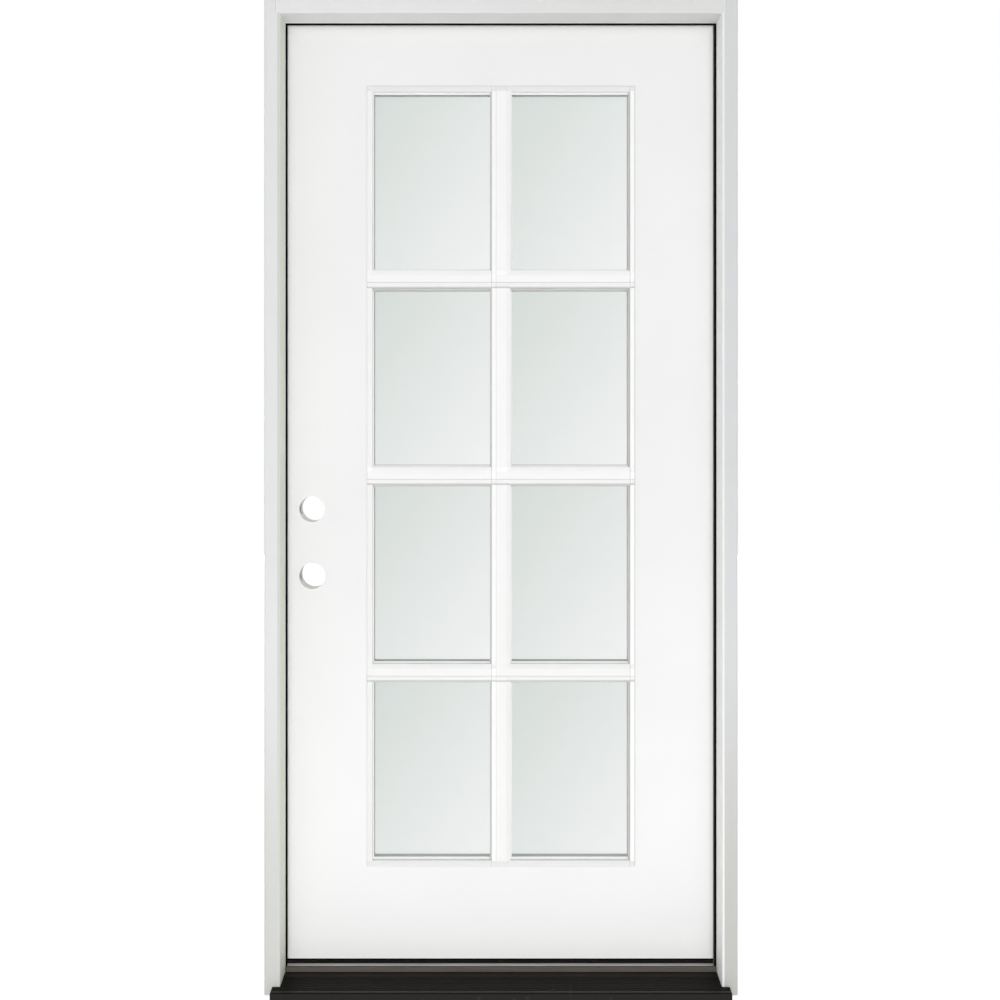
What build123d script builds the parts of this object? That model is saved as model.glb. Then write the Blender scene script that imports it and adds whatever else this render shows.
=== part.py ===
from build123d import *

import os

os.makedirs("parts", exist_ok=True)

# Prehung front door, 36 x 78 in nominal, seen from outside with its hinges on the right.
# A glazed fiberglass slab swings inward in a rabbeted wooden frame over a sloped sill.
# Millimetres, +Z up. X runs across the doorway with the hinges at +X. The outside is -Y.
# The origin is the middle of the sill's underside, halfway through the depth of the jambs.

# Slab
slab_width = 908.05
slab_height = 1951.5
slab_thickness = 44.45
slab_lift = 40.2
skin_thickness = 2.0
stile_width = 30.0
rail_height = 32.0
lock_edge_bevel = 2.8

# Glazed opening of the slab, by the widths of the slab's face around it
side_face_width = 174.625
top_face_width = 134.1
bottom_face_width = 191.8
pane_columns = 2
pane_rows = 4
upright_bar_width = 40.0
cross_bar_width = 36.5
bead_width = 11.0
bead_slope_width = 9.0
bead_slope_depth = 4.0
bead_step = 1.0
lite_clearance = 0.4
lite_edge_round = 0.8
glass_thickness = 3.2
glazing_thickness = 19.05
glass_edge_cover = 9.5
spacer_inset = 1.0
spacer_reveal = 0.8
inner_bar_depth = 11.0

# Bores for a lock and a deadbolt
backset = 60.325
lock_bore_radius = 27.0
latch_bore_radius = 12.7
latch_height = 836.4
bolt_spacing = 139.7
faceplate_width = 25.4
faceplate_height = 57.15
faceplate_depth = 3.0
faceplate_corner = 6.35
lock_block_width = 100.0
lock_block_margin = 95.0

# Frame
door_gap = 5.2
jamb_depth = 115.9
jamb_thickness = 31.75
rabbet_depth = 12.7
seal_gap = 11.0
eased_edge = 1.6
back_edge = 1.0
dado_depth = 9.5

# Seals in their kerfs
kerf_width = 3.0
kerf_depth = 9.0
seal_clearance = 0.3
seal_rest_gap = 5.2
strike_seal_overlap = 3.4
head_seal_overlap = 2.8
hinge_seal_overlap = 5.8
seal_round = 2.4

# Strike mortises in the frame
strike_width = 28.6
strike_height = 69.85
strike_depth = 1.6
strike_corner = 6.35
strike_bore_radius = 11.1

# Sill
sill_clearance = 0.2
horn_length = 15.5
nose_projection = 27.0
nose_height = 16.2
deck_back_height = 20.6
deck_back_inset = 6.0
deck_thickness = 2.0
deck_joint = 0.2
nose_round = 1.5
drip_groove_width = 3.5
drip_groove_depth = 1.2
drip_groove_margin = 3.4
groove_width = 1.6
groove_depth = 0.7
groove_pitch = 6.2
groove_margin = 13.7
groove_count = 10
cap_height = 29.7
cap_seat_height = 14.0
cap_round = 2.5
cap_clearance = 0.4
rail_thickness = 5.0
rail_top = 24.0

# Sweep under the slab
sweep_plate_height = 1.2
sweep_fin_height = 4.0
sweep_width = 36.0
sweep_fin_width = 2.0
sweep_fin_count = 3
sweep_inset = 3.0

# Butt hinges
hinge_height = 101.6
hinge_corner = 15.9
hinge_margin_top = 175.9
hinge_margin_bottom = 201.8
leaf_thickness = 2.4
leaf_reach = 38.0
leaf_clearance = 0.15
leaf_overhang = 1.0
hinge_throw = 8.0
knuckle_radius = 6.4
knuckle_count = 5
knuckle_gap = 0.4
pin_radius = 3.1
pin_clearance = 0.08
pin_head_radius = 5.6
pin_head_height = 3.0
pin_head_round = 1.0
screw_count = 4
screw_pitch = 25.4
screw_hole_radius = 2.6
screw_sink_radius = 4.8
end_screw_inset = 14.0
middle_screw_inset = 27.0

# Places across the doorway
slab_edge = slab_width / 2
rabbet_x = slab_edge + door_gap
lock_bore_x = -slab_edge + backset
core_left = -slab_edge + stile_width
core_right = slab_edge - stile_width
frame_half = rabbet_x + jamb_thickness - rabbet_depth
stop_x = frame_half - jamb_thickness
nose_half = stop_x + horn_length

# Places through the wall
outside_y = -jamb_depth / 2
inside_y = jamb_depth / 2
slab_out_y = inside_y - slab_thickness
slab_mid_y = inside_y - slab_thickness / 2
shoulder_y = slab_out_y - seal_gap
core_out_y = slab_out_y + skin_thickness
core_in_y = inside_y - skin_thickness
glass_out_y = slab_mid_y - glazing_thickness / 2
glass_in_y = slab_mid_y + glazing_thickness / 2
nose_y = outside_y - nose_projection
deck_back_y = shoulder_y - deck_back_inset
cap_out_y = deck_back_y + cap_clearance
cap_in_y = inside_y - rail_thickness - cap_clearance
seal_thickness = seal_gap - seal_rest_gap
leaf_end_y = inside_y + leaf_overhang

# Heights
slab_top = slab_lift + slab_height
head_rabbet_z = slab_top + door_gap
head_stop_z = head_rabbet_z - rabbet_depth
frame_top = head_stop_z + jamb_thickness
lite_top = slab_top - top_face_width
lite_height = slab_height - top_face_width - bottom_face_width
lite_mid_z = lite_top - lite_height / 2
bolt_height = latch_height + bolt_spacing
lock_heights = (latch_height, bolt_height)
lock_mid_z = (latch_height + bolt_height) / 2
lock_block_height = bolt_spacing + 2 * lock_block_margin
seal_bottom = cap_height + seal_clearance

# Glazing
lite_width = slab_width - 2 * side_face_width
sight_width = lite_width - 2 * bead_width
sight_height = lite_height - 2 * bead_width
glass_width = sight_width + 2 * glass_edge_cover
glass_height = sight_height + 2 * glass_edge_cover
spacer_width = glass_edge_cover - spacer_inset + spacer_reveal
pane_width = (sight_width - (pane_columns - 1) * upright_bar_width) / pane_columns
pane_height = (sight_height - (pane_rows - 1) * cross_bar_width) / pane_rows
column_pitch = pane_width + upright_bar_width
row_pitch = pane_height + cross_bar_width

# Hinges
axis_x = slab_edge + door_gap / 2
axis_y = inside_y + hinge_throw
knuckle_length = (hinge_height - (knuckle_count - 1) * knuckle_gap) / knuckle_count
hinge_heights = {
    "top": slab_top - hinge_margin_top - hinge_height / 2,
    "middle": (slab_top + slab_lift - hinge_margin_top + hinge_margin_bottom) / 2,
    "bottom": slab_lift + hinge_margin_bottom + hinge_height / 2,
}


def wall_plane(y):
    """An upright plane across the doorway at depth y. It faces outside, with local y up."""
    return Plane.XZ.offset(-y)


def lock_edge(y):
    """The x of the slab's bevelled lock edge at depth y."""
    return -slab_edge + lock_edge_bevel * (inside_y - y) / slab_thickness


def hinge_edge(y):
    """The x of the slab's square hinge edge, the same at every depth y."""
    return slab_edge


def finish(piece, label):
    """Names a finished piece and writes its file."""
    piece.part.label = label
    export_step(piece.part, f"parts/{label}.step")


def across(depths, left_x, right_x):
    """Draws a plan between two depths. left_x and right_x give each side's x at a depth."""
    near_y, far_y = depths
    with BuildLine() as outline:
        Polyline(
            (left_x(near_y), near_y),
            (right_x(near_y), near_y),
            (right_x(far_y), far_y),
            (left_x(far_y), far_y),
            close=True,
        )
    make_face(outline.edges())


# Head jamb: a rabbeted board between the side jambs, let into them beside the stop
with BuildPart() as head_jamb:
    with BuildSketch(Plane.YZ.offset(-rabbet_x)) as head_profile:
        with BuildLine():
            Polyline(
                (outside_y, head_stop_z),
                (outside_y, frame_top),
                (inside_y, frame_top),
                (inside_y, head_rabbet_z),
                (shoulder_y, head_rabbet_z),
                (shoulder_y, head_stop_z),
                close=True,
            )
        make_face()
        corners = head_profile.vertices()
        fillet(corners.sort_by_distance((outside_y, head_stop_z))[0], eased_edge)
        fillet(corners.sort_by_distance((shoulder_y, head_stop_z))[0], back_edge)
    extrude(amount=2 * rabbet_x)
    with BuildSketch(Plane.XY.offset(head_stop_z)):
        for side in (-1, 1):
            with Locations((side * rabbet_x, outside_y)):
                Rectangle(2 * (rabbet_x - stop_x - dado_depth), 2 * (shoulder_y - outside_y))
    extrude(amount=jamb_thickness, mode=Mode.SUBTRACT)
    with BuildSketch(Plane.YZ.offset(-rabbet_x)):
        with Locations((shoulder_y + kerf_width / 2, head_rabbet_z + kerf_depth / 2)):
            Rectangle(kerf_width, kerf_depth)
    extrude(amount=2 * rabbet_x, mode=Mode.SUBTRACT)
finish(head_jamb, "head_jamb")


def side_jamb(side):
    """Makes a side jamb, on the hinge side if side is 1 and on the strike side if it is -1."""
    with BuildPart() as jamb:
        with BuildSketch(Plane.XY) as profile:
            with BuildLine():
                Polyline(
                    (side * stop_x, outside_y),
                    (side * frame_half, outside_y),
                    (side * frame_half, inside_y),
                    (side * rabbet_x, inside_y),
                    (side * rabbet_x, shoulder_y),
                    (side * stop_x, shoulder_y),
                    close=True,
                )
            make_face()
            points = profile.vertices()
            fillet(points.sort_by_distance((side * stop_x, outside_y))[0], eased_edge)
            fillet(points.sort_by_distance((side * stop_x, shoulder_y))[0], back_edge)
            fillet(points.sort_by_distance((side * frame_half, outside_y))[0], back_edge)
        extrude(amount=frame_top)
        with BuildSketch(Plane.XY):
            with Locations((side * (rabbet_x + kerf_depth / 2), shoulder_y + kerf_width / 2)):
                Rectangle(kerf_depth, kerf_width)
        extrude(amount=head_rabbet_z, mode=Mode.SUBTRACT)
        add(head_jamb.part, mode=Mode.SUBTRACT)
    return jamb


def cut_leaf_mortises(face_x):
    """Cuts a pocket for each hinge leaf, going from face_x along X by a leaf's thickness."""
    with BuildSketch(Plane.YZ.offset(face_x)) as mortises:
        for z in hinge_heights.values():
            with Locations((inside_y, z)):
                Rectangle(2 * (leaf_reach + leaf_clearance), hinge_height + 2 * leaf_clearance)
        fillet(mortises.vertices().group_by(Axis.X)[0], hinge_corner + leaf_clearance)
    extrude(mortises.sketch, amount=leaf_thickness, mode=Mode.SUBTRACT)


# Hinge jamb: the right side jamb, with a mortise for each hinge leaf
hinge_board = side_jamb(1)
with BuildPart() as hinge_jamb:
    add(hinge_board.part)
    cut_leaf_mortises(rabbet_x)
finish(hinge_jamb, "hinge_jamb")

# Strike jamb: the left side jamb, mortised and bored for the latch and deadbolt strikes
strike_board = side_jamb(-1)
with BuildPart() as strike_jamb:
    add(strike_board.part)
    with BuildSketch(Plane.YZ.offset(-rabbet_x - strike_depth)):
        for z in lock_heights:
            with Locations((slab_mid_y, z)):
                RectangleRounded(strike_width, strike_height, strike_corner)
    extrude(amount=strike_depth, mode=Mode.SUBTRACT)
    with BuildSketch(Plane.YZ.offset(-frame_half)):
        for z in lock_heights:
            with Locations((slab_mid_y, z)):
                Circle(strike_bore_radius)
    extrude(amount=frame_half - rabbet_x, mode=Mode.SUBTRACT)
finish(strike_jamb, "strike_jamb")


def seal_section(tip, root, end):
    """Draws a seal's section. Local x crosses the stop's shoulder and local y is the depth."""
    with BuildSketch(Plane.XY, mode=Mode.PRIVATE) as section:
        with Locations(((tip + root) / 2, shoulder_y + seal_thickness / 2)):
            Rectangle(abs(root - tip), seal_thickness)
        round_corners = section.vertices().sort_by_distance((tip, shoulder_y))[0:2]
        fillet(round_corners, seal_round)
        with Locations(((root + end) / 2, shoulder_y + kerf_width / 2)):
            Rectangle(abs(end - root), kerf_width - 2 * seal_clearance)
    add(section.sketch)


# Head seal: a soft strip on the stop's shoulder, with its fin in the head's kerf
with BuildPart() as head_seal:
    across_head = Plane(
        origin=(rabbet_x - seal_clearance, 0, 0), x_dir=(0, 0, 1), z_dir=(-1, 0, 0)
    )
    with BuildSketch(across_head):
        seal_section(
            head_stop_z - head_seal_overlap,
            head_rabbet_z,
            head_rabbet_z + kerf_depth - seal_clearance,
        )
    extrude(amount=2 * (rabbet_x - seal_clearance))
finish(head_seal, "head_seal")


def side_seal(side, overlap):
    """Makes the upright seal of one side, from the sill's cap up to the head seal."""
    with BuildPart() as seal:
        with BuildSketch(Plane.XY.offset(seal_bottom)):
            seal_section(
                side * (stop_x - overlap),
                side * rabbet_x,
                side * (rabbet_x + kerf_depth - seal_clearance),
            )
        extrude(amount=head_stop_z - head_seal_overlap - seal_clearance - seal_bottom)
    return seal


# Side seals: the same strip up each side, wider on the hinge side
hinge_seal = side_seal(1, hinge_seal_overlap)
finish(hinge_seal, "hinge_seal")
strike_seal = side_seal(-1, strike_seal_overlap)
finish(strike_seal, "strike_seal")


def sill_strip(points, half_width):
    """Extrudes a sill section, given as (y, z) points, and fits it between the side jambs."""
    with BuildSketch(Plane.YZ.offset(-half_width)) as section:
        with BuildLine():
            Polyline(*points, close=True)
        make_face()
    extrude(section.sketch, amount=2 * half_width)
    with BuildSketch(Plane.XY) as jamb_room:
        for side in (-1, 1):
            beside_stop = side * (stop_x - sill_clearance + half_width / 2)
            beside_rabbet = side * (rabbet_x - sill_clearance + half_width / 2)
            with Locations((beside_stop, (outside_y + shoulder_y) / 2)):
                Rectangle(half_width, shoulder_y - outside_y + 2 * sill_clearance)
            with Locations((beside_rabbet, (shoulder_y + inside_y) / 2)):
                Rectangle(half_width, inside_y - shoulder_y)
    extrude(jamb_room.sketch, amount=frame_top, mode=Mode.SUBTRACT)


# Sill base: the solid under the deck, with a seat for the cap and a rail behind it
base_nose_y = nose_y + deck_thickness + deck_joint
deck_drop = deck_thickness + deck_joint
with BuildPart() as sill_base:
    sill_strip(
        [
            (base_nose_y, 0),
            (base_nose_y, nose_height - deck_drop),
            (deck_back_y, deck_back_height - deck_drop),
            (deck_back_y, cap_seat_height),
            (inside_y - rail_thickness, cap_seat_height),
            (inside_y - rail_thickness, rail_top),
            (inside_y, rail_top),
            (inside_y, 0),
        ],
        nose_half,
    )
finish(sill_base, "sill_base")


def deck_surface(along):
    """The height of the deck's top at a distance behind the nose."""
    return nose_height + along * (deck_back_height - nose_height) / (deck_back_y - nose_y)


# Sill deck: the bronze metal cover, sloped to the outside, grooved and folded over the nose
with BuildPart() as sill_deck:
    sill_strip(
        [
            (nose_y, 0),
            (nose_y, nose_height),
            (deck_back_y, deck_back_height),
            (deck_back_y, deck_back_height - deck_thickness),
            (nose_y + deck_thickness, nose_height - deck_thickness),
            (nose_y + deck_thickness, 0),
        ],
        nose_half,
    )
    nose_edges = sill_deck.edges().filter_by(Axis.X).group_by(Axis.Y)[0]
    fillet(nose_edges.sort_by(Axis.Z)[-1], nose_round)
    with BuildSketch(Plane.YZ.offset(-nose_half)):
        with Locations((nose_y + drip_groove_margin, deck_surface(drip_groove_margin))):
            Rectangle(drip_groove_width, 2 * drip_groove_depth)
        for index in range(groove_count):
            along = groove_margin + index * groove_pitch
            with Locations((nose_y + along, deck_surface(along))):
                Rectangle(groove_width, 2 * groove_depth)
    extrude(amount=2 * nose_half, mode=Mode.SUBTRACT)
finish(sill_deck, "sill_deck")

# Threshold cap: the raised strip below the slab, on its seat behind the deck
with BuildPart() as threshold_cap:
    sill_strip(
        [
            (cap_out_y, cap_seat_height),
            (cap_out_y, cap_height),
            (cap_in_y, cap_height),
            (cap_in_y, cap_seat_height),
        ],
        rabbet_x,
    )
    long_edges = threshold_cap.edges().filter_by(Axis.X).group_by(Axis.Z)[-1]
    fillet(long_edges.group_by(SortBy.LENGTH)[-1], cap_round)
finish(threshold_cap, "threshold_cap")


def cut_lite_opening():
    """Cuts the slab's glazed opening through a piece."""
    with BuildSketch(wall_plane(inside_y)) as opening:
        with Locations((0, lite_mid_z)):
            Rectangle(lite_width, lite_height)
    extrude(opening.sketch, amount=slab_thickness, mode=Mode.SUBTRACT)


def cut_lock_bores():
    """Cuts the round bores of the lock and the deadbolt through a piece."""
    with BuildSketch(wall_plane(inside_y)) as bores:
        for z in lock_heights:
            with Locations((lock_bore_x, z)):
                Circle(lock_bore_radius)
    extrude(bores.sketch, amount=slab_thickness, mode=Mode.SUBTRACT)


def cut_latch_holes():
    """Cuts the faceplate pockets in the lock edge and the bores from them to the lock bores."""
    edge_plane = Plane(
        origin=(lock_edge(slab_mid_y), slab_mid_y, 0),
        x_dir=(0, 0, 1),
        z_dir=(slab_thickness, lock_edge_bevel, 0),
    )
    with BuildSketch(edge_plane) as pockets:
        for z in lock_heights:
            with Locations((z, 0)):
                RectangleRounded(faceplate_height, faceplate_width, faceplate_corner)
    extrude(pockets.sketch, amount=faceplate_depth, mode=Mode.SUBTRACT)
    with BuildSketch(Plane.YZ.offset(-slab_edge)) as latch_bores:
        for z in lock_heights:
            with Locations((slab_mid_y, z)):
                Circle(latch_bore_radius)
    extrude(latch_bores.sketch, amount=backset, mode=Mode.SUBTRACT)


# Outside skin: the smooth fiberglass face, with the glazed opening and the lock bores
with BuildPart() as outside_skin:
    with BuildSketch(Plane.XY.offset(slab_lift)):
        across((slab_out_y, core_out_y), lock_edge, hinge_edge)
    extrude(amount=slab_height)
    cut_lite_opening()
    cut_lock_bores()
finish(outside_skin, "outside_skin")

# Inside skin: the same face toward the room, let out for the hinge leaves
with BuildPart() as inside_skin:
    with BuildSketch(Plane.XY.offset(slab_lift)):
        across((core_in_y, inside_y), lock_edge, hinge_edge)
    extrude(amount=slab_height)
    cut_lite_opening()
    cut_lock_bores()
    cut_leaf_mortises(slab_edge - leaf_thickness)
finish(inside_skin, "inside_skin")

# Lock stile: the bevelled upright of the slab's free edge, bored for the latches
with BuildPart() as lock_stile:
    with BuildSketch(Plane.XY.offset(slab_lift)):
        across((core_out_y, core_in_y), lock_edge, lambda y: core_left)
    extrude(amount=slab_height)
    cut_latch_holes()
finish(lock_stile, "lock_stile")

# Lock block: the solid between the skins where the lock and the deadbolt go
with BuildPart() as block_blank:
    with BuildSketch(wall_plane(core_in_y)):
        with Locations((core_left + lock_block_width / 2, lock_mid_z)):
            Rectangle(lock_block_width, lock_block_height)
    extrude(amount=core_in_y - core_out_y)
with BuildPart() as lock_block:
    add(block_blank.part)
    cut_lock_bores()
    cut_latch_holes()
finish(lock_block, "lock_block")

# Hinge stile: the upright that carries the hinges
with BuildPart() as hinge_stile:
    with BuildSketch(Plane.XY.offset(slab_lift)):
        across((core_out_y, core_in_y), lambda y: core_right, hinge_edge)
    extrude(amount=slab_height)
    cut_leaf_mortises(slab_edge - leaf_thickness)
finish(hinge_stile, "hinge_stile")


def rail(bottom_z):
    """Makes a rail between the two stiles, with its underside at bottom_z."""
    with BuildPart() as board:
        with BuildSketch(Plane.XY.offset(bottom_z)):
            across((core_out_y, core_in_y), lambda y: core_left, lambda y: core_right)
        extrude(amount=rail_height)
    return board


# Rails: the cross members at the slab's top and bottom
top_rail = rail(slab_top - rail_height)
finish(top_rail, "top_rail")
bottom_rail = rail(slab_lift)
finish(bottom_rail, "bottom_rail")

# Foam core: what fills the slab between the skins, around the glazed opening
with BuildPart() as foam_core:
    with BuildSketch(Plane.XY.offset(slab_lift + rail_height)):
        across((core_out_y, core_in_y), lambda y: core_left, lambda y: core_right)
    extrude(amount=slab_height - 2 * rail_height)
    cut_lite_opening()
    add(block_blank.part, mode=Mode.SUBTRACT)
finish(foam_core, "foam_core")


# Outside lite frame: the moulded surround and bars, bevelled around every pane
with BuildPart() as outside_lite_frame:
    with BuildSketch(wall_plane(glass_out_y)):
        with Locations((0, lite_mid_z)):
            Rectangle(lite_width - 2 * lite_clearance, lite_height - 2 * lite_clearance)
            with GridLocations(column_pitch, row_pitch, pane_columns, pane_rows):
                Rectangle(pane_width, pane_height, mode=Mode.SUBTRACT)
    extrude(amount=glass_out_y - slab_out_y + bead_step)
    front = outside_lite_frame.faces().sort_by(Axis.Y)[0]
    pane_edges = [edge for wire in front.inner_wires() for edge in wire.edges()]
    chamfer(pane_edges, bead_slope_width, bead_slope_depth, reference=front)
    front = outside_lite_frame.faces().sort_by(Axis.Y)[0]
    fillet(front.outer_wire().edges(), lite_edge_round)
finish(outside_lite_frame, "outside_lite_frame")

# Inside lite frame: the same moulding on the room side
with BuildPart() as inside_lite_frame:
    mirror(outside_lite_frame.part, about=wall_plane(slab_mid_y))
finish(inside_lite_frame, "inside_lite_frame")


def glazing_sheet(far_y, thickness, inset):
    """Makes a sheet of the glazed unit, from depth far_y outward, set in from its edges."""
    with BuildPart() as sheet:
        with BuildSketch(wall_plane(far_y)):
            with Locations((0, lite_mid_z)):
                Rectangle(glass_width - 2 * inset, glass_height - 2 * inset)
        extrude(amount=thickness)
    return sheet


# Glass: two clear sheets, with the bars of each frame lying on them
outside_glass = glazing_sheet(glass_out_y + glass_thickness, glass_thickness, 0)
finish(outside_glass, "outside_glass")
inside_glass = glazing_sheet(glass_in_y, glass_thickness, 0)
finish(inside_glass, "inside_glass")

# Glass spacer: the ring that keeps the two sheets apart, with bars behind the moulded ones
air_space = glazing_thickness - 2 * glass_thickness
spacer_room = glazing_sheet(
    glass_in_y - glass_thickness, air_space, spacer_inset + spacer_width
)
spacer_block = glazing_sheet(glass_in_y - glass_thickness, air_space, spacer_inset)
with BuildPart() as glass_spacer:
    add(spacer_block.part)
    add(spacer_room.part, mode=Mode.SUBTRACT)
    with BuildSketch(wall_plane(slab_mid_y + inner_bar_depth / 2)) as inner_bars:
        with Locations((0, lite_mid_z)):
            with GridLocations(column_pitch, 0, pane_columns - 1, 1):
                Rectangle(upright_bar_width + 2 * spacer_reveal, glass_height - 2 * spacer_inset)
            with GridLocations(0, row_pitch, 1, pane_rows - 1):
                Rectangle(glass_width - 2 * spacer_inset, cross_bar_width + 2 * spacer_reveal)
    extrude(inner_bars.sketch, amount=inner_bar_depth)
finish(glass_spacer, "glass_spacer")

# Door sweep: a strip under the slab with fins along it
sweep_length = slab_width - lock_edge_bevel - 2 * sweep_inset
fin_pitch = (sweep_width - sweep_fin_width) / (sweep_fin_count - 1)
with BuildPart() as door_sweep:
    with BuildSketch(Plane.XY.offset(slab_lift)):
        with Locations((lock_edge_bevel / 2, slab_mid_y)):
            Rectangle(sweep_length, sweep_width)
    extrude(amount=-sweep_plate_height)
    with BuildSketch(Plane.XY.offset(slab_lift - sweep_plate_height)):
        with Locations((lock_edge_bevel / 2, slab_mid_y)):
            with GridLocations(0, fin_pitch, 1, sweep_fin_count):
                Rectangle(sweep_length, sweep_fin_width)
    extrude(amount=-sweep_fin_height)
finish(door_sweep, "door_sweep")


def screw_places():
    """The places of a leaf's screws, as (along Y, along Z) from the inside face's mid-height."""
    last = screw_count - 1
    for index in range(screw_count):
        inset = end_screw_inset if index in (0, last) else middle_screw_inset
        yield -inset, (index - last / 2) * screw_pitch


def hinge_leaf(mid_z, face_x, back_x, knuckles):
    """Makes a leaf with its bare face at face_x, and its numbered knuckles bored for the pin."""
    facing = 1 if face_x > back_x else -1
    bare_face = Plane(
        origin=(face_x, inside_y, mid_z), x_dir=(0, facing, 0), z_dir=(facing, 0, 0)
    )
    with BuildPart() as leaf:
        with BuildSketch(Plane.YZ.offset(min(face_x, back_x))) as plate:
            with Locations(((inside_y - leaf_reach + leaf_end_y) / 2, mid_z)):
                Rectangle(leaf_reach + leaf_overhang, hinge_height)
            fillet(plate.vertices().group_by(Axis.X)[0], hinge_corner)
        extrude(amount=leaf_thickness)
        for number in knuckles:
            from_z = mid_z - hinge_height / 2 + number * (knuckle_length + knuckle_gap)
            with BuildSketch(Plane.XY.offset(from_z)):
                with Locations((axis_x, axis_y)):
                    Circle(knuckle_radius)
                with Locations(((face_x + back_x) / 2, (leaf_end_y + axis_y) / 2)):
                    Rectangle(leaf_thickness, axis_y - leaf_end_y)
            extrude(amount=knuckle_length)
        with BuildSketch(Plane.XY.offset(mid_z - hinge_height / 2)):
            with Locations((axis_x, axis_y)):
                Circle(pin_radius + pin_clearance)
        extrude(amount=hinge_height, mode=Mode.SUBTRACT)
        with Locations(bare_face):
            with Locations(*[(facing * y, z) for y, z in screw_places()]):
                CounterSinkHole(screw_hole_radius, screw_sink_radius, leaf_thickness)
    return leaf


def hinge_pin(mid_z):
    """Makes a hinge pin, which hangs in the barrel by its head."""
    with BuildPart() as pin:
        with BuildSketch(Plane.XY.offset(mid_z - hinge_height / 2)):
            with Locations((axis_x, axis_y)):
                Circle(pin_radius)
        extrude(amount=hinge_height)
        with BuildSketch(Plane.XY.offset(mid_z + hinge_height / 2)):
            with Locations((axis_x, axis_y)):
                Circle(pin_head_radius)
        extrude(amount=pin_head_height)
        fillet(pin.edges().group_by(Axis.Z)[-1], pin_head_round)
    return pin


# Hinges: for each, a leaf on the jamb, a leaf on the slab and the pin through their knuckles
frame_knuckles = range(0, knuckle_count, 2)
door_knuckles = range(1, knuckle_count, 2)
for place, mid_z in hinge_heights.items():
    frame_leaf = hinge_leaf(mid_z, rabbet_x, rabbet_x + leaf_thickness, frame_knuckles)
    finish(frame_leaf, f"frame_leaf_{place}")
    door_leaf = hinge_leaf(mid_z, slab_edge, slab_edge - leaf_thickness, door_knuckles)
    finish(door_leaf, f"door_leaf_{place}")
    finish(hinge_pin(mid_z), f"hinge_pin_{place}")
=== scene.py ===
import logging
import math
from collections.abc import Sequence
from dataclasses import dataclass, field
from enum import Enum

import bmesh
import bpy
from mathutils import Matrix, Vector


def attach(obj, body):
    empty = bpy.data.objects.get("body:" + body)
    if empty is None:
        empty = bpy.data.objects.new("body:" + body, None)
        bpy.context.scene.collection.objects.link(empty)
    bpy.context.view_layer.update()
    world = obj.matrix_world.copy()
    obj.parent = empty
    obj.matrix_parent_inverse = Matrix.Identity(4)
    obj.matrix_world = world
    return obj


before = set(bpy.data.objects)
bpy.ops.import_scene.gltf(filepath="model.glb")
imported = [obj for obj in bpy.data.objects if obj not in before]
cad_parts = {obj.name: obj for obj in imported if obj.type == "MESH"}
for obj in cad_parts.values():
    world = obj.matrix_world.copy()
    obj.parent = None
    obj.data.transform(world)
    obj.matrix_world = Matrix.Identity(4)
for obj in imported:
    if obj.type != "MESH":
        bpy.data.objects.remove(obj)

log = logging.getLogger("front_door")
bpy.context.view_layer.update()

Colour = tuple[float, float, float]
Point = tuple[float, float, float]
Span = tuple[float, float]
Material = bpy.types.Material
Vert = bmesh.types.BMVert


class Body(Enum):
    """What a piece moves with."""

    FRAME = "frame"
    DOOR = "door"


class Grain(Enum):
    """Which way a finish runs: the stretch of its texture along X, Y and Z."""

    ACROSS = (0.04, 1.0, 1.0)
    DEEP = (1.0, 0.04, 1.0)
    UPRIGHT = (1.0, 1.0, 0.04)
    EVEN = (1.0, 1.0, 1.0)


def srgb(red: int, green: int, blue: int) -> Colour:
    """Turns the screen values of a colour, 0 to 255, into the linear colour that a shader takes."""
    shares = [value / 255 for value in (red, green, blue)]
    return tuple(s / 12.92 if s <= 0.04045 else ((s + 0.055) / 1.055) ** 2.4 for s in shares)


# -------- shader maths


class Wire:
    """The output of a node, used in Python expressions as the value it carries."""

    def __init__(self, tree: "NodeTree", socket: bpy.types.NodeSocket) -> None:
        """Keeps the node tree and the socket that the value comes from."""
        self.tree = tree
        self.socket = socket

    def maths(self, operation: str, *values: "Wire | float") -> "Wire":
        """Adds a Math node.

        Args:
            operation: The Math node's operation.
            values: Its inputs, in order.

        Returns:
            The node's result.
        """
        inputs = dict(enumerate(values))
        return self.tree.node("ShaderNodeMath", {"operation": operation}, inputs)

    def __add__(self, other: "Wire | float") -> "Wire":
        """self + other."""
        return self.maths("ADD", self, other)

    __radd__ = __add__

    def __sub__(self, other: "Wire | float") -> "Wire":
        """self - other."""
        return self.maths("SUBTRACT", self, other)

    def __rsub__(self, other: float) -> "Wire":
        """other - self."""
        return self.maths("SUBTRACT", other, self)

    def __mul__(self, other: "Wire | float") -> "Wire":
        """self * other."""
        return self.maths("MULTIPLY", self, other)

    __rmul__ = __mul__

    def __truediv__(self, other: "Wire | float") -> "Wire":
        """self / other."""
        return self.maths("DIVIDE", self, other)

    def __gt__(self, other: "Wire | float") -> "Wire":
        """1 where self is more than other, else 0."""
        return self.maths("GREATER_THAN", self, other)

    def __lt__(self, other: "Wire | float") -> "Wire":
        """1 where self is less than other, else 0."""
        return self.maths("LESS_THAN", self, other)

    def __abs__(self) -> "Wire":
        """The size of self without its sign."""
        return self.maths("ABSOLUTE", self)

    def fraction(self) -> "Wire":
        """What is left of self past a whole number."""
        return self.maths("FRACT", self)

    def most(self, other: "Wire | float") -> "Wire":
        """The greater of self and other."""
        return self.maths("MAXIMUM", self, other)

    def ramp(self, low: float, high: float) -> "Wire":
        """Goes smoothly from 0 at low to 1 at high."""
        settings = {"interpolation_type": "SMOOTHSTEP"}
        return self.tree.node("ShaderNodeMapRange", settings, {0: self, 1: low, 2: high})


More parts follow.
